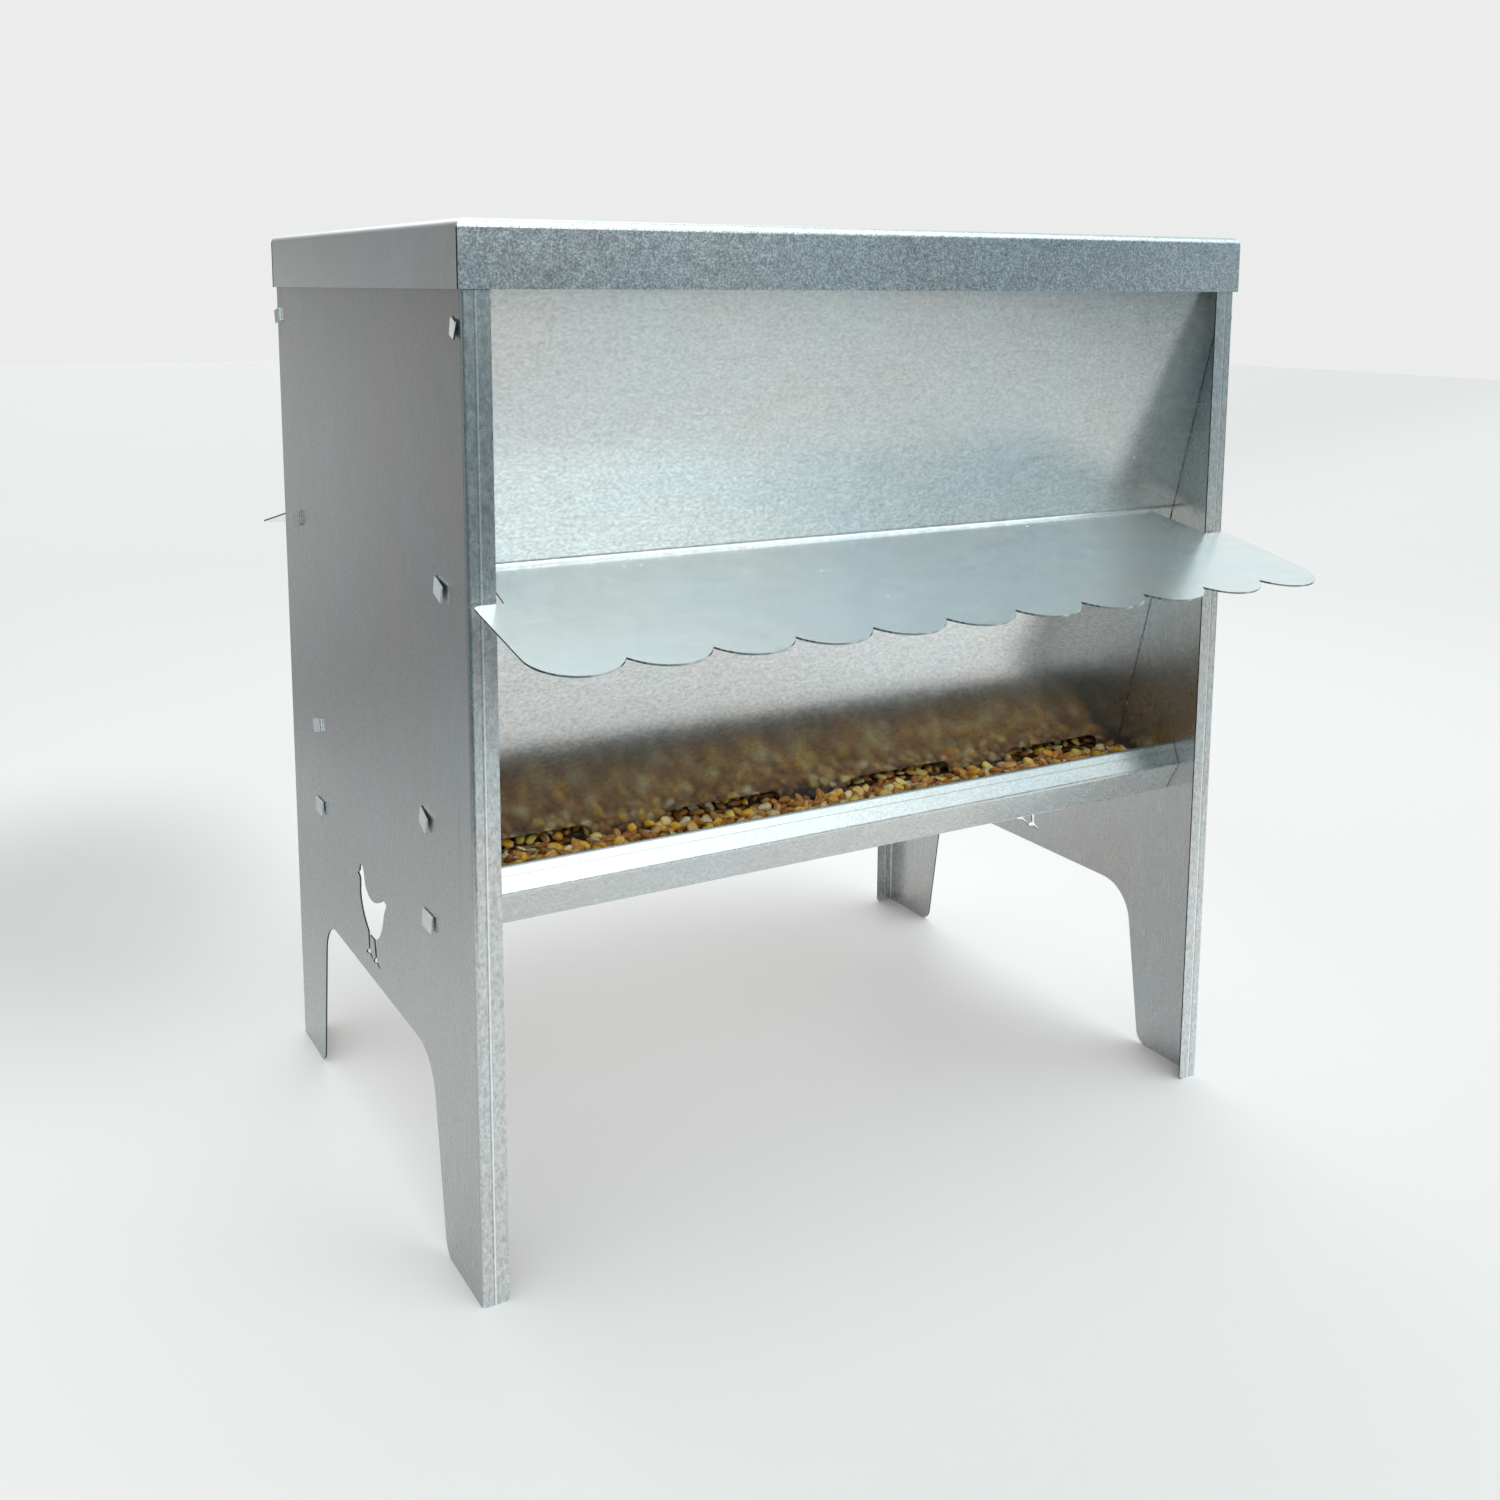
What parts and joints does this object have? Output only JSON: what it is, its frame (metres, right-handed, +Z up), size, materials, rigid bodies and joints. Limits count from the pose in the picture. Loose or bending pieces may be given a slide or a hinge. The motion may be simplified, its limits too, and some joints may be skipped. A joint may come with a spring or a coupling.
{
  "type": "gravity poultry feeder",
  "caption": "Free-standing gravity poultry feeder: folded side panels with legs, sloping hopper walls, scalloped rain canopies, full-depth feed trough and lift-off lid.",
  "frame": {"origin": "on the ground, under the middle of the feeder", "axes": "+X towards the right-hand side panel, +Y from the front towards the rear, +Z up; the front and rear are alike"},
  "size_m": [0.414, 0.4346, 0.45],
  "materials": {
    "galvanised_panel": "galvanised, semi-gloss",
    "galvanised_canopy": "galvanised, semi-gloss",
    "galvanised_baffle": "galvanised, semi-gloss",
    "galvanised_trough": "galvanised, semi-gloss",
    "galvanised_lid": "galvanised, semi-gloss",
    "mixed_grain": "dry loose grain"
  },
  "bodies": {
    "feeder": {"side_panel_left": "galvanised_panel", "side_panel_right": "galvanised_panel", "front_canopy_panel": "galvanised_canopy", "rear_canopy_panel": "galvanised_canopy", "front_feed_baffle": "galvanised_baffle", "rear_feed_baffle": "galvanised_baffle", "feed_trough": "galvanised_trough", "feed_grain": "mixed_grain"},
    "lid": {"lid": "galvanised_lid"}
  },
  "joints": [
    {"name": "lid_lift", "type": "slide", "parent": "feeder", "child": "lid", "axis": [0, 0, 1], "range_m": [0, 0.15]}
  ]
}
